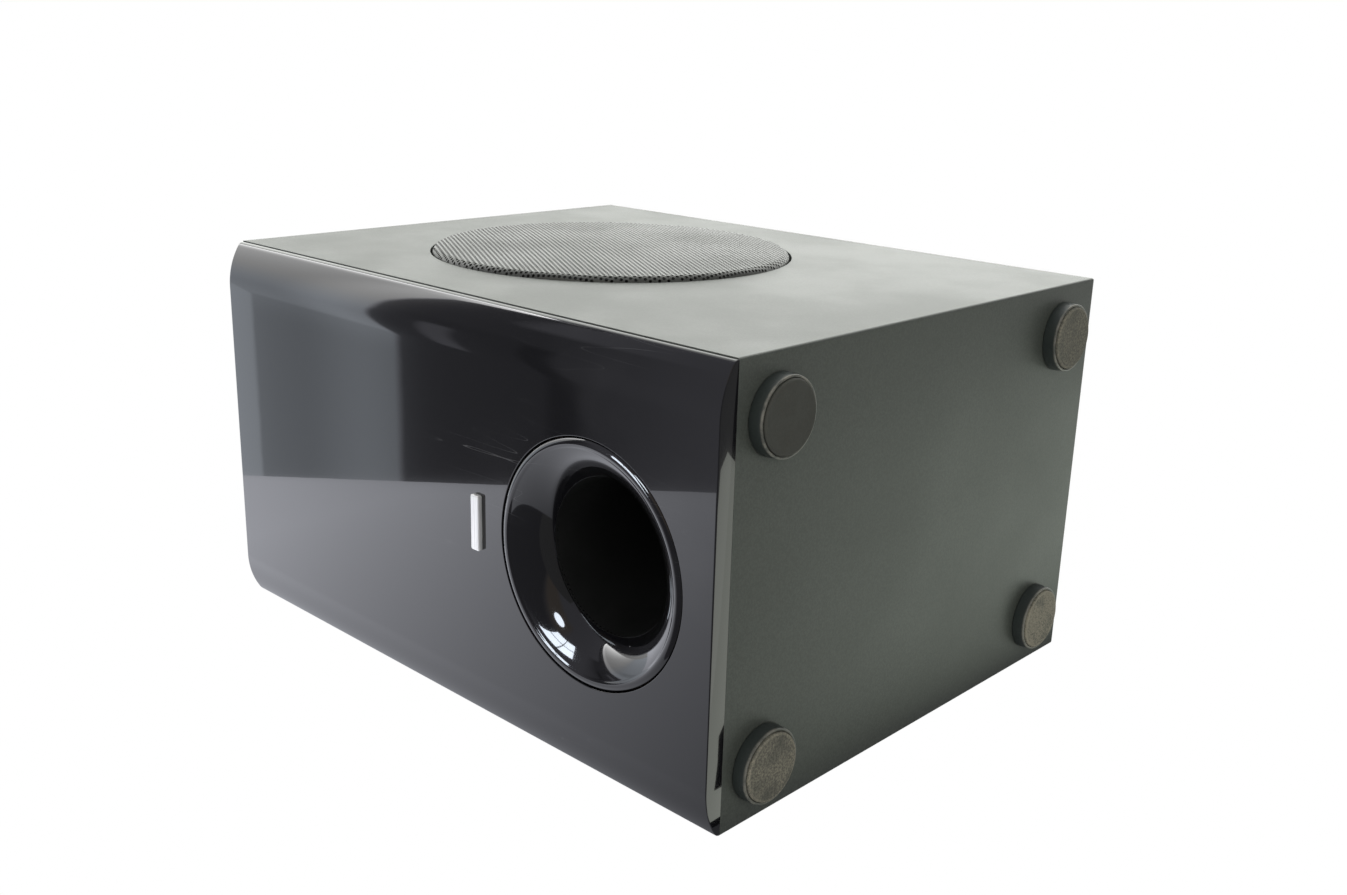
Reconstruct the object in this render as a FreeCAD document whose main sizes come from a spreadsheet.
import FreeCAD, Part
import math
import os
import Sketcher
from types import SimpleNamespace

# A compact active subwoofer, in millimetres.
#
# The cabinet stands upright on four feet, +Z up. Its gloss fascia and reflex port face -Y, the round grille
# and the driver behind it face +X, and the plate amplifier is on the back, +Y. The origin lies under the
# middle of the whole product, at the level of the foot pads.

SIZES = {
    # cabinet boards
    "cabinet_width": 228,
    "cabinet_height": 400,
    "cabinet_depth": 310,
    "board": 18,
    "edge_round": 1.2,
    # fascia, an extruded front with two rounded long edges
    "fascia_thickness": 10.6,
    "fascia_edge": 1.9,
    "fascia_round": 45,
    "fascia_inset": 0.6,
    "peg_radius": 4,
    "peg_in_fascia": 4,
    "peg_in_baffle": 9,
    "peg_inset": 34,
    "hole_clearance": 0.15,
    # plain badge bar on the fascia
    "badge_width": 30,
    "badge_height": 6.4,
    "badge_proud": 2.6,
    "badge_round": 1.2,
    "badge_level": 162,
    # reflex port
    "port_level": 80.8,
    "port_bore": 40,
    "port_wall": 2.5,
    "port_length": 180,
    "flare_radius": 61.8,
    "flare_crease": 57,
    "flare_depth": 16,
    "flare_curve": 30,
    "flare_wall": 2.8,
    "flare_waist": 48,
    "bead_radius": 3.4,
    "bead_drop": 0.6,
    "flare_groove": 0.8,
    "socket_depth": 15.6,
    "glue_gap": 0.2,
    # shelf brace between the side boards
    "shelf_gap": 1.5,
    "shelf_thickness": 14,
    "shelf_depth": 220,
    "shelf_rail": 20,
    # grille on the driver side
    "grille_radius": 107.7,
    "grille_sheet": 1,
    "grille_proud": 5,
    "grille_shoulder": 3.4,
    "grille_rise": 2.8,
    "grille_skirt": 4,
    "grille_gap": 1,
    "grille_ring_width": 2.5,
    "ring_clearance": 0.3,
    # driver
    "driver_back": 154.4,
    "driver_level": 237.6,
    "driver_recess": 9.5,
    "driver_cutout": 93.4,
    "driver_gasket": 1,
    "frame_radius": 103,
    "frame_flange": 4,
    "frame_step": 2,
    "frame_step_radius": 94.2,
    "frame_throat": 88,
    "frame_wall": 2.8,
    "window_inner_width": 33,
    "window_outer_width": 41,
    "spider_shelf_depth": 40,
    "spider_shelf_outer": 61,
    "spider_shelf_inner": 51,
    "motor_seat_depth": 52,
    "driver_screw_circle": 98.6,
    "driver_screw_radius": 2.2,
    "driver_screw_head": 3.9,
    "driver_screw_head_height": 2.2,
    "driver_screw_bite": 7,
    # moving parts of the driver
    "cone_radius": 70.2,
    "cone_land": 3.7,
    "cone_sheet": 1.2,
    "cone_height": 29,
    "roll_depth": 6,
    "roll_flat": 1.4,
    "rubber": 1,
    "coil_radius": 19.1,
    "former_sheet": 0.4,
    "former_length": 41,
    "winding": 1.4,
    "winding_length": 14,
    "dust_cap_radius": 26,
    "dust_cap_height": 9.6,
    "spider_wave": 1.6,
    # motor
    "pole_gap": 0.5,
    "coil_gap": 0.7,
    "top_plate_radius": 47,
    "top_plate_thickness": 8,
    "magnet_radius": 53,
    "magnet_hole": 27,
    "magnet_thickness": 18,
    "yoke_thickness": 8,
    "vent_radius": 7,
    # wiring
    "terminal_width": 20,
    "terminal_depth": 4,
    "terminal_height": 10,
    "tab_length": 9,
    "tab_width": 5,
    "tab_sheet": 0.8,
    "lead_diameter": 1.2,
    "lead_loop_depth": 14,
    "cable_diameter": 3,
    "cable_loop_depth": 29,
    # feet
    "foot_height": 8.5,
    "foot_radius": 19.4,
    "foot_lip_radius": 18.9,
    "foot_band": 1.8,
    "pad_radius": 17.4,
    "pad_proud": 1.2,
    "pad_depth": 2.6,
    "foot_inset_side": 29,
    "foot_inset_front": 26.5,
    "foot_inset_back": 35,
    "foot_screw_radius": 2,
    "foot_screw_head": 4.2,
    "foot_screw_head_height": 2,
    "foot_screw_bite": 13,
    # plate amplifier
    "amp_width": 150,
    "amp_height": 250,
    "amp_level": 200,
    "amp_plate": 2.5,
    "amp_gasket": 1,
    "amp_lip": 13,
    "amp_corner": 6,
    "amp_screw_radius": 1.9,
    "amp_screw_head": 3.6,
    "amp_screw_head_height": 2.2,
    "amp_screw_bite": 14,
    "amp_board_depth": 27,
    "amp_board_sheet": 1.6,
    "amp_board_width": 116,
    "amp_board_height": 88,
    "amp_board_level": 66,
    "standoff_radius": 2.5,
    "standoff_inset": 6,
    "transformer_radius": 38,
    "transformer_hole": 12,
    "transformer_height": 32,
    "transformer_round": 8,
    "transformer_level": -26,
    "washer_radius": 20,
    "washer_sheet": 1.5,
    "bolt_radius": 3,
    "sink_width": 18,
    "sink_height": 54,
    "sink_depth": 22,
    "sink_base": 5,
    "chip_width": 4.5,
    "chip_height": 10.4,
    "chip_gap": 8.8,
    "big_can_radius": 11,
    "big_can_height": 28,
    "small_can_radius": 5,
    "small_can_height": 14,
    "can_gap": 2.5,
    # controls
    "control_row": 92,
    "knob_offset": 36,
    "knob_radius": 8.6,
    "knob_tip_radius": 7.6,
    "knob_length": 15,
    "knob_gap": 0.8,
    "knob_cavity": 6.6,
    "knob_cavity_depth": 5,
    "knob_mark": 1.2,
    "shaft_radius": 3,
    "running_clearance": 0.05,
    "bushing_radius": 3.8,
    "bushing_length": 4.4,
    "nut_radius": 5.8,
    "nut_height": 2,
    "pot_radius": 8.5,
    "pot_height": 9.5,
    "pot_well": 3,
    "slider_travel": 4,
    "slider_width": 3,
    "slider_height": 3.6,
    "slider_proud": 2.6,
    "slider_clearance": 0.4,
    "slider_foot": 1.5,
    "phase_body_width": 22,
    "phase_body_height": 10,
    "phase_body_depth": 8,
    "phase_wall": 1.5,
    "jack_row": 48,
    "jack_spacing": 20,
    "jack_radius": 4.15,
    "jack_length": 9.5,
    "jack_collar_radius": 5.6,
    "jack_collar_height": 1.5,
    "jack_hole": 1.6,
    "jack_rear_radius": 3.6,
    "jack_rear_depth": 16,
    "led_offset": 40,
    "led_radius": 1.5,
    "led_bezel": 2.4,
    "led_bezel_height": 0.8,
    "led_rear_depth": 6,
    "power_row": -92,
    "power_offset": 30,
    "inlet_width": 22,
    "inlet_height": 12,
    "inlet_flange": 5,
    "inlet_flange_height": 1.5,
    "inlet_depth": 14,
    "inlet_wall": 1.6,
    "inlet_well": 12,
    "inlet_well_flat": 0.4,
    "inlet_pin_spacing": 8.6,
    "inlet_pin_radius": 1.15,
    "inlet_pin_length": 8.5,
    "switch_width": 12.6,
    "switch_height": 18.6,
    "switch_depth": 15,
    "switch_flange": 1.2,
    "switch_flange_height": 1.5,
    "rocker_width": 9,
    "rocker_radius": 7.1,
    "rocker_half": 6.6,
    "rocker_dip": 1,
    "rocker_foot": 4.5,
    "rocker_tilt": 8,
    "rocker_clearance": 0.35,
    "rocker_pin_radius": 1.2,
    "rocker_pin_length": 1.2,
    "rocker_pivot": 1.8,
}

# How many of each fastener, window or rib
DRIVER_SCREWS = 8
FRAME_WINDOWS = 6
SINK_FINS = 5
SPIDER_WAVES = 4

# How true a wire's volume has to be
VOLUME_TOLERANCE = 0.02

# The steps in the depth of each wire's loop, which its route is laid out in
LEAD_LOOP_STEPS = 14
CABLE_LOOP_STEPS = 29

doc = FreeCAD.newDocument("Subwoofer")
sheet = doc.addObject("Spreadsheet::Sheet", "Sizes")
for row, (alias, number) in enumerate(SIZES.items(), start=1):
    sheet.set(f"A{row}", alias)
    sheet.set(f"B{row}", str(number))
    sheet.setAlias(f"B{row}", alias)
doc.recompute()


class Size:
    """A length with its value now and the expression that keeps it tied to the sheet."""

    def __init__(self, value, text):
        self.value = float(value)
        self.text = text

    def __add__(self, other):
        return Size(self.value + number_of(other), f"({self.text} + {text_of(other)})")

    def __radd__(self, other):
        return Size(number_of(other) + self.value, f"({text_of(other)} + {self.text})")

    def __sub__(self, other):
        return Size(self.value - number_of(other), f"({self.text} - {text_of(other)})")

    def __rsub__(self, other):
        return Size(number_of(other) - self.value, f"({text_of(other)} - {self.text})")

    def __mul__(self, other):
        return Size(self.value * number_of(other), f"({self.text} * {text_of(other)})")

    __rmul__ = __mul__

    def __truediv__(self, other):
        return Size(self.value / number_of(other), f"({self.text} / {text_of(other)})")

    def __neg__(self):
        return Size(-self.value, f"(0 - {self.text})")


def number_of(size):
    return size.value if isinstance(size, Size) else float(size)


def text_of(size):
    return size.text if isinstance(size, Size) else f"({float(size):.9f})"


def root(size):
    return Size(math.sqrt(size.value), f"sqrt({size.text})")


s = SimpleNamespace(**{alias: Size(number, f"Sizes.{alias}") for alias, number in SIZES.items()})


def bind(thing, **sizes):
    """Set properties of an object, tied to the sheet where a Size is given."""
    for name, size in sizes.items():
        setattr(thing, name, number_of(size))
        if isinstance(size, Size):
            thing.setExpression(name, size.text)
    return thing


# The ways a piece can face: where its own X, Y and Z axes point
FACING = {
    "up": ((1, 0, 0), (0, 1, 0), (0, 0, 1)),
    "down": ((-1, 0, 0), (0, 1, 0), (0, 0, -1)),
    "left": ((0, 0, 1), (0, 1, 0), (-1, 0, 0)),
    "right": ((0, 0, -1), (0, 1, 0), (1, 0, 0)),
    "front": ((1, 0, 0), (0, 0, 1), (0, -1, 0)),
    "back": ((-1, 0, 0), (0, 0, 1), (0, 1, 0)),
    "along": ((0, 1, 0), (0, 0, 1), (1, 0, 0)),
}


def place(thing, x=0, y=0, z=0, facing="up"):
    """Put a piece's origin at x, y, z and turn it to face one way."""
    axes = [FreeCAD.Vector(*axis) for axis in FACING[facing]]
    rotation = FreeCAD.Rotation(axes[0], axes[1], axes[2], "XYZ")
    origin = FreeCAD.Vector(number_of(x), number_of(y), number_of(z))
    thing.Placement = FreeCAD.Placement(origin, rotation)
    for name, size in (("x", x), ("y", y), ("z", z)):
        if isinstance(size, Size):
            thing.setExpression(f"Placement.Base.{name}", size.text)
    return thing


# --- simple solids and how they combine ---------------------------------------------------------------------


def block(width, depth, height, x=0, y=0, z=0):
    """A box centred on x and y, standing on z."""
    box = bind(doc.addObject("Part::Box", "block"), Length=width, Width=depth, Height=height)
    return place(box, x - width / 2, y - depth / 2, z)


def rod(radius, length, x=0, y=0, z=0, facing="up"):
    """A cylinder from x, y, z along the way it faces."""
    cylinder = bind(doc.addObject("Part::Cylinder", "rod"), Radius=radius, Height=length)
    return place(cylinder, x, y, z, facing)


def cut(base, *tools):
    """The base with the tools taken away."""
    piece = doc.addObject("Part::Cut", "cut")
    piece.Base = base
    piece.Tool = tools[0] if len(tools) == 1 else fuse(*tools)
    return piece


def fuse(*pieces):
    """Several solids joined into one."""
    piece = doc.addObject("Part::MultiFuse", "fuse")
    piece.Shapes = list(pieces)
    return piece


def group(*pieces):
    """Several separate solids kept as one node."""
    piece = doc.addObject("Part::Compound", "group")
    piece.Links = list(pieces)
    return piece


# --- sketched solids ----------------------------------------------------------------------------------------


def outline(body, plane, corners):
    """A closed sketch through the corners; a third value is the radius of the arc to the next corner.

    A positive radius turns anticlockwise, a negative one clockwise, and both take the short way round.
    """
    sketch = body.newObject("Sketcher::SketchObject", "outline")
    origin_plane = [feature for feature in body.Origin.OriginFeatures if feature.Role == plane][0]
    sketch.AttachmentSupport = (origin_plane, [""])
    sketch.MapMode = "FlatFace"
    points = [FreeCAD.Vector(number_of(corner[0]), number_of(corner[1]), 0) for corner in corners]
    ends = []
    for index, corner in enumerate(corners):
        start = points[index]
        stop = points[(index + 1) % len(points)]
        if len(corner) == 3:
            sketch.addGeometry(short_arc(start, stop, number_of(corner[2])))
            ends.append((1, 2) if number_of(corner[2]) > 0 else (2, 1))
        else:
            sketch.addGeometry(Part.LineSegment(start, stop))
            ends.append((1, 2))
    for index, corner in enumerate(corners):
        after = (index + 1) % len(corners)
        sketch.addConstraint(Sketcher.Constraint("Coincident", index, ends[index][1], after, ends[after][0]))
        tie_to_axis(sketch, "DistanceX", index, ends[index][0], corner[0], -2)
        tie_to_axis(sketch, "DistanceY", index, ends[index][0], corner[1], -1)
        if len(corner) == 3:
            radius = corner[2] if number_of(corner[2]) > 0 else -corner[2]
            tie(sketch, Sketcher.Constraint("Radius", index, number_of(radius)), radius)
    return sketch


def short_arc(start, stop, radius):
    """The arc of the given signed radius between two points."""
    half = (stop - start) / 2
    left = FreeCAD.Vector(-half.y, half.x, 0) / half.Length
    rise = math.sqrt(max(radius * radius - half.Length * half.Length, 0))
    centre = start + half + left * math.copysign(rise, radius)
    first, last = (start, stop) if radius > 0 else (stop, start)
    angles = [math.atan2(point.y - centre.y, point.x - centre.x) for point in (first, last)]
    circle = Part.Circle(centre, FreeCAD.Vector(0, 0, 1), abs(radius))
    return Part.ArcOfCircle(circle, angles[0], angles[1])


def tie_to_axis(sketch, kind, edge, end, size, axis):
    """Hold the end of an edge at a distance from the sketch's origin, or on its axis when that is zero."""
    if isinstance(size, Size):
        tie(sketch, Sketcher.Constraint(kind, -1, 1, edge, end, number_of(size)), size)
    else:
        if size == 0:
            sketch.addConstraint(Sketcher.Constraint("PointOnObject", edge, end, axis))
        else:
            sketch.addConstraint(Sketcher.Constraint(kind, -1, 1, edge, end, float(size)))


def tie(sketch, constraint, size):
    index = sketch.addConstraint(constraint)
    if isinstance(size, Size):
        sketch.setExpression(f"Constraints[{index}]", size.text)


def turned(*corners):
    """A solid of revolution about its own Z, from corners of radius, height and the arc to the next."""
    body = doc.addObject("PartDesign::Body", "turned")
    revolution = body.newObject("PartDesign::Revolution", "turn")
    sketch = outline(body, "XZ_Plane", corners)
    revolution.Profile = sketch
    revolution.ReferenceAxis = (sketch, ["V_Axis"])
    revolution.Angle = 360
    body.Tip = revolution
    return body


def ring(inner, outer, low, high):
    """A plain ring about Z."""
    return turned((inner, low), (outer, low), (outer, high), (inner, high))


def screw(radius, head, head_height, tip, seat):
    """A screw about Z from its tip up to the face that its pan head sits on."""
    brim = seat + head_height / 2
    return turned(
        (0, tip), (radius, tip), (radius, seat), (head, seat),
        (head, brim, arc_radius(head, head_height / 2)), (0, seat + head_height),
    )


PADS = {"up": ("XY_Plane", False), "back": ("XZ_Plane", True), "right": ("YZ_Plane", False)}


def padded(way, length, *corners):
    """An outline drawn across one axis and padded along it: up from XY, back from XZ, right from YZ."""
    plane, is_reversed = PADS[way]
    body = doc.addObject("PartDesign::Body", "padded")
    pad = body.newObject("PartDesign::Pad", "pad")
    pad.Profile = outline(body, plane, corners)
    pad.Reversed = is_reversed
    bind(pad, Length=length)
    body.Tip = pad
    return body


def rounded_plate(width, height, corner, thickness):
    """A flat plate across XY, centred, with rounded corners, standing on z = 0."""
    x = width / 2
    y = height / 2
    return padded(
        "up", thickness,
        (corner - x, -y), (x - corner, -y, corner), (x, corner - y), (x, y - corner, corner),
        (x - corner, y), (corner - x, y, corner), (-x, y - corner), (-x, corner - y, corner),
    )


def round_places(count, radius, first=0.0):
    """Places evenly round a circle."""
    turns = [math.radians(first) + 2 * math.pi * index / count for index in range(count)]
    return [(radius * math.cos(turn), radius * math.sin(turn)) for turn in turns]


def arc_radius(half_chord, height):
    """The radius of an arc from half its chord and its height."""
    return (half_chord * half_chord + height * height) / (2 * height)


# --- where the product's parts meet -------------------------------------------------------------------------

nodes = []


def node(name, piece):
    """Name a finished sub-part; its name is its file's name."""
    piece.Label = name
    nodes.append(piece)
    return piece


amp_face = s.amp_gasket + s.amp_plate
knob_reach = amp_face + s.knob_gap + s.knob_length
middle_x = -s.grille_proud / 2
side_x = middle_x + s.cabinet_width / 2
front_y = (s.fascia_thickness + s.badge_proud - s.cabinet_depth - knob_reach) / 2
back_y = front_y + s.cabinet_depth
floor_z = s.foot_height
inner_width = s.cabinet_width - 2 * s.board
inner_height = s.cabinet_height - 2 * s.board
tube_radius = s.port_bore + s.port_wall
socket_radius = tube_radius + s.glue_gap + s.flare_wall
port_z = floor_z + s.port_level
driver_y = front_y + s.driver_back
driver_z = floor_z + s.driver_level
amp_z = floor_z + s.amp_level
foot_places = [
    (side * (s.cabinet_width / 2 - s.foot_inset_side), depth)
    for depth in (s.foot_inset_front, s.cabinet_depth - s.foot_inset_back)
    for side in (-1, 1)
]
peg_places = [
    (side * (s.cabinet_width / 2 - s.peg_inset), level)
    for level in (s.peg_inset, s.cabinet_height / 2, s.cabinet_height - s.peg_inset)
    for side in (-1, 1)
]


# --- cabinet ------------------------------------------------------------------------------------------------


def mitred_board(length):
    """A board with its outer face at z = 0, its ends mitred and the outer edges rounded."""
    half = length / 2
    nick = s.edge_round * (1 - math.cos(math.pi / 4))
    return padded(
        "back", s.cabinet_depth,
        (s.board - half, -s.board), (half - s.board, -s.board), (half - nick, -nick, s.edge_round),
        (half - s.edge_round, 0), (s.edge_round - half, 0, s.edge_round), (nick - half, -nick),
    )


def make_boards():
    top = mitred_board(s.cabinet_width)
    node("top_board", place(top, middle_x, front_y, floor_z + s.cabinet_height, "up"))
    pilots = [
        rod(s.foot_screw_radius, s.foot_screw_bite, x, y, -s.foot_screw_bite) for x, y in foot_places
    ]
    bottom = cut(mitred_board(s.cabinet_width), *pilots)
    node("bottom_board", place(bottom, middle_x, front_y, floor_z, "down"))
    middle_z = floor_z + s.cabinet_height / 2
    left = mitred_board(s.cabinet_height)
    node("left_board", place(left, middle_x - s.cabinet_width / 2, front_y, middle_z, "left"))
    down = s.cabinet_height / 2 - s.driver_level
    recess = rod(s.grille_radius + s.grille_gap, s.driver_recess, down, s.driver_back, -s.driver_recess)
    hole = rod(s.driver_cutout, s.board, down, s.driver_back, -s.board)
    pilots = [
        rod(s.driver_screw_radius, s.driver_screw_bite + s.driver_recess, down + x, s.driver_back + y,
            -s.driver_recess - s.driver_screw_bite)
        for x, y in round_places(DRIVER_SCREWS, s.driver_screw_circle, 180 / DRIVER_SCREWS)
    ]
    driver_side = cut(mitred_board(s.cabinet_height), recess, hole, *pilots)
    node("driver_board", place(driver_side, side_x, front_y, middle_z, "right"))


def make_baffle():
    """The front board behind the fascia, with the port's hole and the sockets of the fascia's pegs."""
    board = block(inner_width, s.board, inner_height, 0, s.board / 2, s.board)
    hole = rod(s.flare_waist + s.flare_groove, s.board, 0, s.board, s.port_level, "front")
    sockets = [
        rod(s.peg_radius + s.hole_clearance, s.peg_in_baffle + s.hole_clearance,
            x, s.peg_in_baffle + s.hole_clearance, z, "front")
        for x, z in peg_places
    ]
    node("front_baffle", place(cut(board, hole, *sockets), middle_x, front_y, floor_z))


def make_back_board():
    board = block(inner_width, s.board, inner_height, 0, s.cabinet_depth - s.board / 2, s.board)
    opening_width = s.amp_width - 2 * s.amp_lip
    opening_height = s.amp_height - 2 * s.amp_lip
    opening = block(opening_width, s.board, opening_height,
                    0, s.cabinet_depth - s.board / 2, s.amp_level - opening_height / 2)
    pilots = [
        rod(s.amp_screw_radius, s.amp_screw_bite, x, s.cabinet_depth, s.amp_level + y, "front")
        for x, y in amp_screw_places
    ]
    node("back_board", place(cut(board, opening, *pilots), middle_x, front_y, floor_z))


def make_shelf():
    """A windowed shelf that ties the side boards together above the port tube."""
    plate = block(inner_width, s.shelf_depth, s.shelf_thickness, 0, s.board + s.shelf_depth / 2)
    window_width = (inner_width - 3 * s.shelf_rail) / 2
    windows = [
        block(window_width, s.shelf_depth - 2 * s.shelf_rail, s.shelf_thickness,
              side * (window_width + s.shelf_rail) / 2, s.board + s.shelf_depth / 2)
        for side in (-1, 1)
    ]
    level = port_z + socket_radius + s.shelf_gap
    node("shelf_brace", place(cut(plate, *windows), middle_x, front_y, level))


# --- fascia, badge and port ---------------------------------------------------------------------------------


def make_fascia():
    """An extruded front: flat in the middle, an arc down to a thin edge on both long sides."""
    half = s.cabinet_width / 2 - s.fascia_inset
    drop = s.fascia_thickness - s.fascia_edge
    reach = root(2 * s.fascia_round * drop - drop * drop)
    front = -s.fascia_thickness
    profile = padded(
        "up", s.cabinet_height,
        (-half, 0), (-half, -s.fascia_edge, s.fascia_round), (reach - half, front),
        (half - reach, front, s.fascia_round), (half, -s.fascia_edge), (half, 0),
    )
    hole = rod(s.flare_radius + s.flare_groove, s.fascia_thickness, 0, 0, s.port_level, "front")
    sockets = [
        rod(s.peg_radius + s.hole_clearance, s.peg_in_fascia + s.hole_clearance, x, 0, z, "front")
        for x, z in peg_places
    ]
    node("fascia", place(cut(profile, hole, *sockets), middle_x, front_y, floor_z))
    pegs = [
        rod(s.peg_radius, s.peg_in_fascia + s.peg_in_baffle, x, s.peg_in_baffle, z, "front")
        for x, z in peg_places
    ]
    node("fascia_pegs", place(group(*pegs), middle_x, front_y, floor_z))
    badge = rounded_plate(s.badge_width, s.badge_height, s.badge_round, s.badge_proud)
    node("badge_bar", place(badge, middle_x, front_y - s.fascia_thickness, floor_z + s.badge_level, "front"))


def make_port():
    """A glossy flare with a bead round its mouth, and the paper tube in the flare's socket."""
    front = s.fascia_thickness
    throat = front - s.flare_depth
    socket_bore = tube_radius + s.glue_gap
    socket_end = throat - s.socket_depth
    skirt = s.flare_radius - s.flare_wall
    flare = turned(
        (s.flare_radius, 0), (s.flare_radius, front - s.bead_drop, s.bead_radius),
        (s.flare_crease, front, s.flare_curve), (s.port_bore, throat), (socket_bore, throat),
        (socket_bore, socket_end), (socket_radius, socket_end), (socket_radius, throat - s.flare_wall),
        (s.flare_waist, 0), (s.flare_waist + s.flare_wall, s.fascia_thickness - 2 * s.flare_wall),
        (skirt, s.fascia_thickness - 2 * s.flare_wall), (skirt, 0),
    )
    node("port_flare", place(flare, middle_x, front_y, port_z, "front"))
    tube = turned(
        (s.port_bore, throat - s.port_length), (tube_radius, throat - s.port_length),
        (tube_radius, throat), (s.port_bore, throat),
    )
    node("port_tube", place(tube, middle_x, front_y, port_z, "front"))


# --- grille -------------------------------------------------------------------------------------------------


def make_grille():
    """A domed sheet of perforated steel with a folded skirt, pressed over a ring standing in the recess."""
    edge = s.grille_radius
    crown = edge - s.grille_shoulder
    rise = s.grille_rise
    steel = s.grille_sheet
    dome = arc_radius(crown, s.grille_proud - rise)
    shoulder_chord = root(s.grille_shoulder * s.grille_shoulder + rise * rise)
    fold = arc_radius(shoulder_chord / 2, s.grille_shoulder / 4)
    grille = turned(
        (edge - steel, -s.grille_skirt), (edge, -s.grille_skirt), (edge, 0, fold), (crown, rise, dome),
        (0, s.grille_proud), (0, s.grille_proud - steel, -dome), (crown, rise - steel),
        (edge - steel, -steel),
    )
    node("grille", place(grille, side_x, driver_y, driver_z, "right"))
    outer = edge - steel - s.ring_clearance
    standing_ring = ring(outer - s.grille_ring_width, outer, -s.driver_recess, -2 * steel)
    node("grille_ring", place(standing_ring, side_x, driver_y, driver_z, "right"))


# --- driver: its own Z points out of the cabinet, from the floor of the recess ------------------------------

seat_x = side_x - s.driver_recess
flange_face = s.driver_gasket + s.frame_flange
step_face = flange_face - s.frame_step
shelf_z = -s.spider_shelf_depth
motor_z = -s.motor_seat_depth
plate_top = motor_z - s.frame_wall
magnet_top = plate_top - s.top_plate_thickness
yoke_top = magnet_top - s.magnet_thickness
neck_radius = s.coil_radius + s.glue_gap
neck_z = step_face - s.cone_height
land_radius = s.cone_radius - s.cone_land


def in_driver(*pieces):
    """Carry pieces drawn about the driver's axis to their place in the side of the cabinet."""
    return place(group(*pieces), seat_x, driver_y, driver_z, "right")


def make_frame():
    """The cast frame: flange, step for the surround, windowed cone, spider shelf and motor seat."""
    wall = s.frame_wall
    corner = -2 * s.frame_step
    frame = turned(
        (s.frame_radius, s.driver_gasket), (s.frame_radius, flange_face), (s.frame_step_radius, flange_face),
        (s.frame_step_radius, step_face), (s.frame_throat, step_face), (s.frame_throat, 2 * corner),
        (s.spider_shelf_outer, shelf_z), (s.spider_shelf_inner, shelf_z), (s.spider_shelf_inner, motor_z),
        (s.coil_radius + 2 * s.winding, motor_z), (s.coil_radius + 2 * s.winding, plate_top),
        (s.spider_shelf_inner + wall, plate_top), (s.spider_shelf_inner + wall, shelf_z - wall),
        (s.spider_shelf_outer + wall, shelf_z - wall), (s.frame_throat + wall, 2 * corner - wall / 2),
        (s.frame_throat + wall, s.driver_gasket),
    )
    inner = s.spider_shelf_outer + 2 * wall
    outer = s.frame_throat - 2 * wall
    near_half = s.window_inner_width / 2
    far_half = s.window_outer_width / 2
    pocket = frame.newObject("PartDesign::Pocket", "window")
    pocket.Profile = outline(frame, "XY_Plane", [
        (inner, -near_half), (outer, -far_half), (outer, far_half), (inner, near_half),
    ])
    pocket.Type = "ThroughAll"
    pocket.Midplane = True
    windows = frame.newObject("PartDesign::PolarPattern", "windows")
    windows.Originals = [pocket]
    z_axis = [feature for feature in frame.Origin.OriginFeatures if feature.Role == "Z_Axis"][0]
    windows.Axis = (z_axis, [""])
    windows.Angle = 360
    windows.Occurrences = FRAME_WINDOWS
    frame.Tip = windows
    holes = [
        rod(s.driver_screw_radius + s.hole_clearance, s.frame_flange, x, y, s.driver_gasket)
        for x, y in round_places(DRIVER_SCREWS, s.driver_screw_circle, 180 / DRIVER_SCREWS)
    ]
    node("driver_frame", in_driver(cut(frame, *holes)))


def make_driver_fixings():
    places = round_places(DRIVER_SCREWS, s.driver_screw_circle, 180 / DRIVER_SCREWS)
    seal = ring(s.driver_cutout, s.frame_radius, 0, s.driver_gasket)
    holes = [rod(s.driver_screw_radius + s.hole_clearance, s.driver_gasket, x, y) for x, y in places]
    node("driver_gasket", in_driver(cut(seal, *holes)))
    screws = [
        place(
            screw(s.driver_screw_radius, s.driver_screw_head, s.driver_screw_head_height,
                  -s.driver_screw_bite, flange_face),
            x, y)
        for x, y in places
    ]
    node("driver_screws", in_driver(*screws))


def make_motor():
    coil_outer = s.coil_radius + s.glue_gap / 2 + s.winding
    pole = s.coil_radius - s.former_sheet - s.pole_gap
    gap_edge = coil_outer + s.coil_gap
    node("top_plate", in_driver(ring(gap_edge, s.top_plate_radius, magnet_top, plate_top)))
    node("magnet", in_driver(ring(s.magnet_hole, s.magnet_radius, yoke_top, magnet_top)))
    bottom = yoke_top - s.yoke_thickness
    yoke = turned(
        (s.vent_radius, bottom), (s.top_plate_radius, bottom), (s.top_plate_radius, yoke_top),
        (pole, yoke_top), (pole, plate_top), (s.vent_radius, plate_top),
    )
    node("pole_yoke", in_driver(yoke))


def make_moving_parts():
    """Cone, dust cap, former and winding, which travel together along the driver's axis."""
    slope = (s.cone_height - s.cone_sheet) / (land_radius - neck_radius)
    cone = turned(
        (s.cone_radius, step_face), (land_radius, step_face), (neck_radius, neck_z + s.cone_sheet),
        (neck_radius, neck_z - s.cone_sheet / 2), (land_radius, step_face - s.cone_sheet),
        (s.cone_radius, step_face - s.cone_sheet),
    )
    node("cone", in_driver(cone))
    cap_inner = s.dust_cap_radius - s.cone_sheet
    cap_z = neck_z + s.cone_sheet + (s.dust_cap_radius - neck_radius) * slope + s.glue_gap
    inner_height = s.dust_cap_height - s.cone_sheet
    cap = turned(
        (cap_inner, cap_z), (s.dust_cap_radius, cap_z, arc_radius(s.dust_cap_radius, s.dust_cap_height)),
        (0, cap_z + s.dust_cap_height), (0, cap_z + inner_height, -arc_radius(cap_inner, inner_height)),
    )
    node("dust_cap", in_driver(cap))
    former_top = neck_z + s.cone_sheet
    former_end = former_top - s.former_length
    former = ring(s.coil_radius - s.former_sheet, s.coil_radius, former_end, former_top)
    node("coil_former", in_driver(former))
    inner = s.coil_radius + s.glue_gap / 2
    coil = ring(inner, inner + s.winding, former_end, former_end + s.winding_length)
    node("voice_coil", in_driver(coil))


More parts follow.
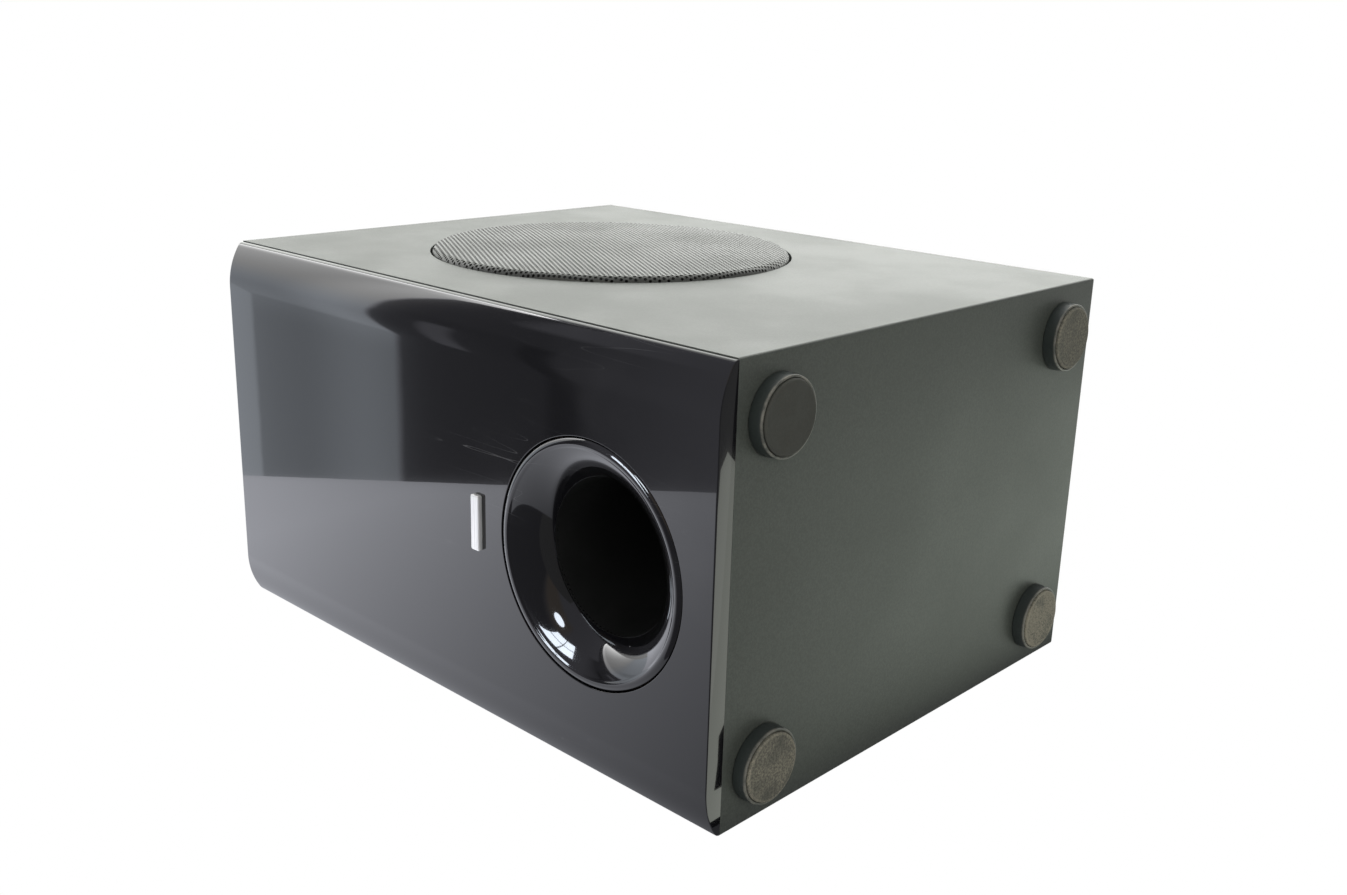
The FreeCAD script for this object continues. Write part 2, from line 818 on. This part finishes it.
def make_suspension():
    """The inverted half-roll surround at the rim and the corrugated spider at the neck."""
    outer = s.frame_step_radius - s.glue_gap
    roll_outer = s.frame_throat - s.roll_flat
    roll_inner = land_radius + s.roll_flat + s.cone_land
    upper = (roll_outer - roll_inner) / 2
    lower = upper + s.rubber
    top = step_face + s.rubber
    surround = turned(
        (outer, top), (roll_outer, top, -arc_radius(upper, s.roll_depth)), (roll_inner, top),
        (land_radius, top), (land_radius, step_face),
        (roll_inner - s.rubber, step_face, arc_radius(lower, s.roll_depth + s.rubber)),
        (roll_outer + s.rubber, step_face), (outer, step_face),
    )
    node("surround", in_driver(surround))
    rim = s.spider_shelf_outer - s.glue_gap
    hub = s.coil_radius + s.glue_gap
    land = s.spider_shelf_inner - s.glue_gap
    ridges = 2 * SPIDER_WAVES
    pitch = (land - hub) / ridges
    wave = arc_radius(pitch / 2, s.spider_wave)
    low = shelf_z
    high = shelf_z + s.cone_sheet / 2
    bends = [wave if index % 2 == 0 else -wave for index in range(ridges)]
    over = [(land - pitch * index, high, bend) for index, bend in enumerate(bends)]
    under = [(hub + pitch * index, low, bend) for index, bend in enumerate(bends)]
    spider = turned((rim, low), (rim, high), *over, (hub, high), *under, (land, low))
    node("spider", in_driver(spider))


def make_terminals():
    """The solder tabs on the frame, under its spider shelf, and the leads that reach them from the cone."""
    near = s.spider_shelf_inner + s.frame_wall + s.glue_gap
    low = plate_top + s.frame_wall / 2
    body = block(s.terminal_depth, s.terminal_width, s.terminal_height, near + s.terminal_depth / 2, 0, low)
    tabs = [
        block(s.tab_length, s.tab_width, s.tab_sheet, near + s.terminal_depth + s.tab_length / 2,
              side * s.terminal_width / 4, low + s.terminal_height / 2)
        for side in (-1, 1)
    ]
    node("driver_terminals", in_driver(fuse(body, *tabs)))


# --- feet ---------------------------------------------------------------------------------------------------


def make_feet():
    """Four turned cups, each with a rubber pad pressed in from below and a screw up into the bottom board."""
    pad_top = s.pad_proud + s.pad_depth
    screw_seat = pad_top + s.foot_screw_head_height + s.hole_clearance
    screw_low = screw_seat - s.foot_screw_head_height
    screw_tip = s.foot_height + s.foot_screw_bite
    hole = s.foot_screw_radius + s.hole_clearance
    head_well = s.foot_screw_head + s.hole_clearance
    pad_well = s.pad_radius + s.hole_clearance
    lip = s.foot_lip_radius
    half_band = s.foot_band / 2
    names = ("front_left", "front_right", "back_left", "back_right")
    screws = []
    for name, (x, y) in zip(names, foot_places):
        cup = turned(
            (hole, s.foot_height), (hole, screw_seat), (head_well, screw_seat), (head_well, pad_top),
            (pad_well, pad_top), (pad_well, s.pad_proud), (lip - half_band, s.pad_proud),
            (lip, s.pad_proud + half_band), (lip, s.foot_height - s.foot_band),
            (s.foot_radius, s.foot_height - half_band), (s.foot_radius, s.foot_height),
        )
        node(f"foot_{name}", place(cup, middle_x + x, front_y + y))
        pad = turned(
            (0, 0), (s.pad_radius - s.pad_proud, 0, s.pad_proud),
            (s.pad_radius, s.pad_proud), (s.pad_radius, pad_top), (0, pad_top),
        )
        node(f"foot_pad_{name}", place(pad, middle_x + x, front_y + y))
        screws.append(place(
            turned(
                (0, screw_low), (s.foot_screw_head, screw_low), (s.foot_screw_head, screw_seat),
                (s.foot_screw_radius, screw_seat), (s.foot_screw_radius, screw_tip), (0, screw_tip),
            ), x, y))
    node("foot_screws", place(group(*screws), middle_x, front_y))


# --- plate amplifier: its own Z points out of the back, X to the right and Y up as seen from behind ---------

amp_inner_face = s.amp_gasket
screw_x = (s.amp_width - s.amp_lip) / 2
screw_y = (s.amp_height - s.amp_lip) / 2
amp_screw_places = [
    (across * screw_x, up * screw_y) for up in (-1, 0, 1) for across in (-1, 0, 1) if across or up
]


def in_amp(*pieces):
    """Carry pieces drawn on the amplifier's plate to their place on the back of the cabinet."""
    return place(group(*pieces), middle_x, back_y, amp_z, "back")


def round_hole(radius, x, y):
    """A hole in the plate with room round what passes through it."""
    return rod(radius + s.hole_clearance, s.amp_plate, x, y, amp_inner_face)


def square_hole(width, height, play, x, y):
    return block(width + 2 * play, height + 2 * play, s.amp_plate, x, y, amp_inner_face)


def make_amp_plate():
    holes = [round_hole(s.led_radius, s.led_offset, s.jack_row)]
    for side in (-1, 1):
        holes.append(round_hole(s.bushing_radius, side * s.knob_offset, s.control_row))
        holes.append(round_hole(s.jack_rear_radius, side * s.jack_spacing / 2, s.jack_row))
    for x, y in amp_screw_places:
        holes.append(round_hole(s.amp_screw_radius, x, y))
    slot_width = s.slider_width + s.slider_travel
    play = s.hole_clearance
    holes.append(square_hole(slot_width, s.slider_height, s.slider_clearance, 0, s.control_row))
    holes.append(square_hole(s.inlet_width, s.inlet_height, play, -s.power_offset, s.power_row))
    holes.append(square_hole(s.switch_width, s.switch_height, play, s.power_offset, s.power_row))
    blank = place(rounded_plate(s.amp_width, s.amp_height, s.amp_corner, s.amp_plate), 0, 0, amp_inner_face)
    node("amp_plate", in_amp(cut(blank, *holes)))


def make_amp_fixings():
    sheet_rubber = rounded_plate(s.amp_width, s.amp_height, s.amp_corner, s.amp_gasket)
    opening = block(s.amp_width - 2 * s.amp_lip, s.amp_height - 2 * s.amp_lip, s.amp_gasket)
    holes = [rod(s.amp_screw_radius + s.hole_clearance, s.amp_gasket, x, y) for x, y in amp_screw_places]
    node("amp_gasket", in_amp(cut(sheet_rubber, opening, *holes)))
    screws = [
        place(
            screw(s.amp_screw_radius, s.amp_screw_head, s.amp_screw_head_height, -s.amp_screw_bite, amp_face),
            x, y)
        for x, y in amp_screw_places
    ]
    node("amp_screws", in_amp(*screws))


def make_amp_board():
    """The circuit board on its standoffs, with the capacitors on the side away from the plate."""
    face = amp_inner_face - s.amp_board_depth
    board_back = face - s.amp_board_sheet
    board = block(s.amp_board_width, s.amp_board_height, s.amp_board_sheet, 0, s.amp_board_level, board_back)
    node("amp_board", in_amp(board))
    x = s.amp_board_width / 2 - s.standoff_inset
    y = s.amp_board_height / 2 - s.standoff_inset
    places = ((x, y), (-x, y), (x, -y), (s.sink_width - x, -y))
    standoffs = [
        rod(s.standoff_radius, s.amp_board_depth, across, s.amp_board_level + up, face)
        for across, up in places
    ]
    node("board_standoffs", in_amp(*standoffs))
    low = board_back - s.big_can_height
    cans = [
        rod(s.big_can_radius, s.big_can_height, side * (s.big_can_radius + s.can_gap), s.amp_board_level, low)
        for side in (-1, 1)
    ]
    low = board_back - s.small_can_height
    cans += [
        rod(s.small_can_radius, s.small_can_height, step * (2 * s.small_can_radius + s.can_gap),
            s.amp_board_level + s.big_can_radius + s.small_can_radius + s.can_gap, low)
        for step in (-1, 0, 1)
    ]
    node("capacitors", in_amp(*cans))


def make_transformer():
    """A toroid held to the plate by a stud, a dished washer's flat and a nut."""
    low = amp_inner_face - s.hole_clearance - s.transformer_height
    high = amp_inner_face - s.hole_clearance
    curve = s.transformer_round
    toroid = turned(
        (s.transformer_hole + curve, low), (s.transformer_radius - curve, low, curve),
        (s.transformer_radius, low + curve), (s.transformer_radius, high - curve, curve),
        (s.transformer_radius - curve, high), (s.transformer_hole + curve, high, curve),
        (s.transformer_hole, high - curve), (s.transformer_hole, low + curve, curve),
    )
    place(toroid, 0, s.transformer_level)
    node("transformer", in_amp(toroid))
    washer = low - s.washer_sheet
    nut = washer - s.bolt_radius
    stud = turned(
        (0, nut - s.bolt_radius), (s.bolt_radius, nut - s.bolt_radius), (s.bolt_radius, nut),
        (2 * s.bolt_radius, nut), (2 * s.bolt_radius, washer), (s.washer_radius, washer),
        (s.washer_radius, low), (s.bolt_radius, low), (s.bolt_radius, amp_inner_face), (0, amp_inner_face),
    )
    place(stud, 0, s.transformer_level)
    node("transformer_stud", in_amp(stud))


def make_heat_sink():
    """A finned bar under the board's edge, with two output chips clamped to its side."""
    left = s.standoff_inset / 2 - s.amp_board_width / 2
    pitch = s.sink_height / (2 * SINK_FINS - 1)
    bar = place(block(s.sink_width, s.sink_height, s.sink_depth), 0, 0, -s.sink_depth)
    gaps = [
        block(s.sink_width - s.sink_base, pitch, s.sink_depth - s.sink_base,
              -s.sink_base / 2, (2 * index + 1.5) * pitch - s.sink_height / 2, -s.sink_depth)
        for index in range(SINK_FINS - 1)
    ]
    x = left + s.sink_width / 2
    y = s.amp_board_level - s.amp_board_height / 2 + s.sink_height / 2
    sink = place(cut(bar, *gaps), x, y, amp_inner_face)
    node("heat_sink", in_amp(sink))
    chips = [
        block(s.chip_width, s.chip_height, s.amp_board_depth - s.sink_base,
              left + s.sink_width + s.chip_width / 2, y + side * (s.chip_height + s.chip_gap) / 2,
              amp_inner_face - s.amp_board_depth)
        for side in (-1, 1)
    ]
    node("output_chips", in_amp(*chips))


# --- controls and sockets on the amplifier ------------------------------------------------------------------


def make_dial(name, x):
    """A potentiometer behind the plate and the knob that turns in its bushing."""
    bore = s.shaft_radius + s.running_clearance
    top = amp_face + s.bushing_length
    well = amp_inner_face - s.pot_well
    pot = turned(
        (0, amp_inner_face - s.pot_height), (s.pot_radius, amp_inner_face - s.pot_height),
        (s.pot_radius, amp_inner_face), (s.bushing_radius, amp_inner_face), (s.bushing_radius, amp_face),
        (s.nut_radius, amp_face), (s.nut_radius, amp_face + s.nut_height),
        (s.bushing_radius, amp_face + s.nut_height), (s.bushing_radius, top), (bore, top), (bore, well),
        (0, well),
    )
    place(pot, x, s.control_row)
    node(f"{name}_pot", in_amp(pot))
    low = amp_face + s.knob_gap
    tip = low + s.knob_length
    cavity = low + s.knob_cavity_depth
    body = turned(
        (0, well + s.knob_gap / 2), (s.shaft_radius, well + s.knob_gap / 2), (s.shaft_radius, cavity),
        (s.knob_cavity, cavity), (s.knob_cavity, low), (s.knob_radius, low), (s.knob_tip_radius, tip),
        (0, tip),
    )
    mark_y = s.knob_radius / 2 + s.shaft_radius
    mark = block(s.knob_mark, s.knob_radius, s.knob_mark, 0, mark_y, tip - s.knob_mark)
    knob = place(cut(body, mark), x, s.control_row)
    node(f"{name}_knob", in_amp(knob))


def make_phase_switch():
    """A slide switch: its housing behind the plate and the slider that shows through a slot."""
    play = s.slider_clearance
    wall = s.phase_wall
    floor = amp_inner_face - s.phase_body_depth
    housing = block(s.phase_body_width, s.phase_body_height, s.phase_body_depth, 0, s.control_row, floor)
    foot_width = s.slider_width + 2 * s.slider_foot
    foot_height = s.slider_height + 2 * s.slider_foot
    well = block(foot_width + s.slider_travel + 2 * play, foot_height + 2 * play,
                 s.phase_body_depth - wall, 0, s.control_row, floor + wall)
    node("phase_switch", in_amp(cut(housing, well)))
    start = -s.slider_travel / 2
    low = floor + wall + play / 2
    foot = block(foot_width, foot_height, s.phase_body_depth / 2, start, s.control_row, low)
    stem = block(s.slider_width, s.slider_height, amp_face + s.slider_proud - low, start, s.control_row, low)
    node("phase_slider", in_amp(fuse(foot, stem)))


def make_power_switch():
    """A rocker switch snapped into the plate; the rocker tips about its pin and rests pressed in below."""
    centre = amp_inner_face + s.rocker_pivot
    floor = amp_face - s.switch_depth
    body = block(s.switch_width, s.switch_height, s.switch_depth, 0, 0, floor)
    flange = block(s.switch_width + 2 * s.switch_flange, s.switch_height + 2 * s.switch_flange,
                   s.switch_flange_height, 0, 0, amp_face)
    well_width = s.rocker_width + 2 * s.rocker_clearance
    well_half = s.rocker_radius + s.rocker_clearance
    well_depth = amp_face + s.switch_flange_height - centre + well_half
    well = block(well_width, 2 * well_half, well_depth, 0, 0, centre - well_half)
    pin_half = s.rocker_width / 2 + s.rocker_pin_length
    bore_half = pin_half + s.rocker_clearance / 2
    bore = s.rocker_pin_radius + s.running_clearance
    bearing = rod(bore, 2 * bore_half, -bore_half, 0, centre, "along")
    housing = place(cut(fuse(body, flange), well, bearing), s.power_offset, s.power_row)
    node("power_switch", in_amp(housing))
    reach = root(s.rocker_radius * s.rocker_radius - s.rocker_half * s.rocker_half)
    foot_half = root(s.rocker_radius * s.rocker_radius - s.rocker_foot * s.rocker_foot)
    rocker = padded(
        "right", s.rocker_width,
        (-foot_half, -s.rocker_foot), (foot_half, -s.rocker_foot, s.rocker_radius), (s.rocker_half, reach),
        (0, reach - s.rocker_dip), (-s.rocker_half, reach, s.rocker_radius),
    )
    place(rocker, -s.rocker_width / 2)
    pin = rod(s.rocker_pin_radius, 2 * pin_half, -pin_half, 0, 0, "along")
    tipped = fuse(rocker, pin)
    tipped.Placement.Rotation = FreeCAD.Rotation(FreeCAD.Vector(1, 0, 0), number_of(s.rocker_tilt))
    tipped.setExpression("Placement.Rotation.Angle", s.rocker_tilt.text)
    seated = place(group(tipped), s.power_offset, s.power_row, centre)
    node("power_rocker", in_amp(seated))


def make_sockets():
    """Two line inputs, the status lamp and the two-pin mains inlet."""
    pin_end = amp_inner_face - s.jack_rear_depth
    shell_end = amp_inner_face - s.jack_rear_depth / 2
    collar = amp_face + s.jack_collar_height
    mouth = amp_face + s.jack_length
    for name, side in (("left", -1), ("right", 1)):
        jack = turned(
            (0, pin_end), (s.jack_hole, pin_end), (s.jack_hole, shell_end), (s.jack_rear_radius, shell_end),
            (s.jack_rear_radius, amp_face), (s.jack_collar_radius, amp_face), (s.jack_collar_radius, collar),
            (s.jack_radius, collar), (s.jack_radius, mouth), (s.jack_hole, mouth), (s.jack_hole, collar),
            (0, collar),
        )
        place(jack, side * s.jack_spacing / 2, s.jack_row)
        node(f"line_input_{name}", in_amp(jack))
    lamp_top = amp_face + s.led_bezel_height
    lamp = turned(
        (0, amp_inner_face - s.led_rear_depth), (s.led_radius, amp_inner_face - s.led_rear_depth),
        (s.led_radius, amp_face), (s.led_bezel, amp_face), (s.led_bezel, lamp_top),
        (s.led_radius, lamp_top, s.led_radius), (0, lamp_top + s.led_radius),
    )
    place(lamp, s.led_offset, s.jack_row)
    node("status_lamp", in_amp(lamp))
    rear = amp_inner_face - s.inlet_depth
    body = block(s.inlet_width, s.inlet_height, amp_face - rear, 0, 0, rear)
    mouth = amp_face + s.inlet_flange_height
    flange = block(s.inlet_width + 2 * s.inlet_flange, s.inlet_height + s.inlet_flange,
                   s.inlet_flange_height, 0, 0, amp_face)
    floor = mouth - s.inlet_well
    well_width = s.inlet_width - 2 * s.inlet_wall
    well_height = s.inlet_height - 2 * s.inlet_wall
    corner = (well_height - s.inlet_well_flat) / 2
    well = place(rounded_plate(well_width, well_height, corner, s.inlet_well), 0, 0, floor)
    pins = [
        rod(s.inlet_pin_radius, s.inlet_pin_length, side * s.inlet_pin_spacing / 2, 0, floor)
        for side in (-1, 1)
    ]
    inlet = place(fuse(cut(fuse(body, flange), well), *pins), -s.power_offset, s.power_row)
    node("mains_inlet", in_amp(inlet))


# --- wiring -------------------------------------------------------------------------------------------------


def rounded_path(points):
    """Straight runs joined by tangent arcs, each taking nine twentieths of its shorter run."""
    vectors = [FreeCAD.Vector(*point) for point in points]
    edges = []
    start = vectors[0]
    for before, corner, after in zip(vectors, vectors[1:], vectors[2:]):
        towards = (before - corner).normalize()
        away = (after - corner).normalize()
        cut_back = min(corner.distanceToPoint(before), corner.distanceToPoint(after)) * 9 / 20
        turn = math.pi - towards.getAngle(away)
        radius = cut_back / math.tan(turn / 2)
        middle_way = (towards + away).normalize()
        middle = corner + middle_way * (radius / math.cos(turn / 2) - radius)
        first = corner + towards * cut_back
        last = corner + away * cut_back
        edges.append(Part.LineSegment(start, first).toShape())
        edges.append(Part.Arc(first, middle, last).toShape())
        print(f"arc radius {radius:.1f}")
        start = last
    edges.append(Part.LineSegment(start, vectors[-1]).toShape())
    return Part.Wire(edges)


def wire_tube(points, diameter):
    """A round wire along a rounded path."""
    path = rounded_path(points)
    direction = FreeCAD.Vector(*points[1]) - FreeCAD.Vector(*points[0])
    circle = Part.Circle(FreeCAD.Vector(*points[0]), direction, diameter / 2)
    section = Part.Wire([circle.toShape()])
    tube = path.makePipeShell([section], True, False)
    expected = math.pi * diameter * diameter / 4 * path.Length
    if abs(tube.Volume / expected - 1) > VOLUME_TOLERANCE:
        raise RuntimeError("A wire's volume isn't its section times its length")
    return tube


def make_leads():
    """The two fine leads that hang from the back of the cone, out through a frame window to the tabs."""
    near = s.spider_shelf_inner + s.frame_wall + s.glue_gap + s.terminal_depth
    tab_low = plate_top + (s.frame_wall + s.terminal_height) / 2
    cone_slope = (step_face.value - neck_z.value) / (land_radius - neck_radius).value
    reach = near.value - s.terminal_width.value
    back_of_cone = step_face.value - s.cone_sheet.value - (land_radius.value - reach) * cone_slope
    start = back_of_cone - s.lead_diameter.value
    end = near.value + s.tab_length.value / 2
    low = tab_low.value + s.tab_sheet.value + s.lead_diameter.value / 2 + s.glue_gap.value / 2
    step = s.lead_loop_depth.value / LEAD_LOOP_STEPS
    leads = []
    for side in (-1, 1):
        y = driver_y.value + side * s.terminal_width.value / 4
        route = [
            (reach, start), (reach + 3 * step, start - 7 * step), (reach + 12 * step, start - 13 * step),
            (end, start - 14 * step), (end + 11 * step, low + 13 * step), (end + 17 * step, low + 8 * step),
            (end + 14.5 * step, low + 1.5 * step), (end + 7.5 * step, low), (end, low),
        ]
        points = [(seat_x.value + height, y, driver_z.value - radius) for radius, height in route]
        leads.append(wire_tube(points, s.lead_diameter.value))
    wires = doc.addObject("Part::Feature", "leads")
    wires.Shape = Part.makeCompound(leads)
    node("tinsel_leads", wires)


def make_cable():
    """The two-core cable from the driver's terminal block to the amplifier board."""
    tab_low = plate_top + (s.frame_wall + s.terminal_height) / 2
    x = (seat_x + tab_low + s.tab_sheet / 2).value
    y = driver_y.value
    z = (driver_z - s.spider_shelf_inner - s.frame_wall - s.glue_gap - s.terminal_depth).value
    board_x = middle_x.value - s.big_can_radius.value
    board_y = (back_y + amp_inner_face - s.amp_board_depth - s.amp_board_sheet).value
    board_z = (amp_z + s.amp_board_level - s.amp_board_height / 3).value
    step = s.cable_loop_depth.value / CABLE_LOOP_STEPS
    route = [
        (x, y, z), (x, y, z - 18 * step), (x, y + 12 * step, z - 29 * step),
        (x - 3 * step, y + 34 * step, z - 28 * step), (x - 17 * step, y + 57 * step, z - 10 * step),
        ((x + board_x) / 2 - 4 * step, board_y - 46 * step, (z + board_z) / 2),
        (board_x + 8 * step, board_y - 30 * step, board_z - 12 * step),
        (board_x, board_y - 14 * step, board_z), (board_x, board_y - s.glue_gap.value, board_z),
    ]
    cable = doc.addObject("Part::Feature", "cable")
    cable.Shape = wire_tube(route, s.cable_diameter.value)
    node("speaker_cable", cable)


# --- build, check and write ---------------------------------------------------------------------------------

make_boards()
make_baffle()
make_back_board()
make_shelf()
make_fascia()
make_port()
make_grille()
make_frame()
make_driver_fixings()
make_motor()
make_moving_parts()
make_suspension()
make_terminals()
make_feet()
make_amp_plate()
make_amp_fixings()
make_amp_board()
make_transformer()
make_heat_sink()
make_dial("level", -s.knob_offset)
make_dial("crossover", s.knob_offset)
make_phase_switch()
make_power_switch()
make_sockets()
make_leads()
make_cable()
doc.recompute()

for thing in doc.Objects:
    if "Invalid" in thing.State or "Error" in thing.State:
        raise RuntimeError(f"{thing.Label} failed: {thing.State}")
for piece in nodes:
    if piece.Shape.isNull() or not piece.Shape.isValid():
        raise RuntimeError(f"{piece.Label} has no valid shape")

os.makedirs("parts", exist_ok=True)
for piece in nodes:
    piece.Shape.exportStep(f"parts/{piece.Label}.step")
print(len(nodes), "nodes written")
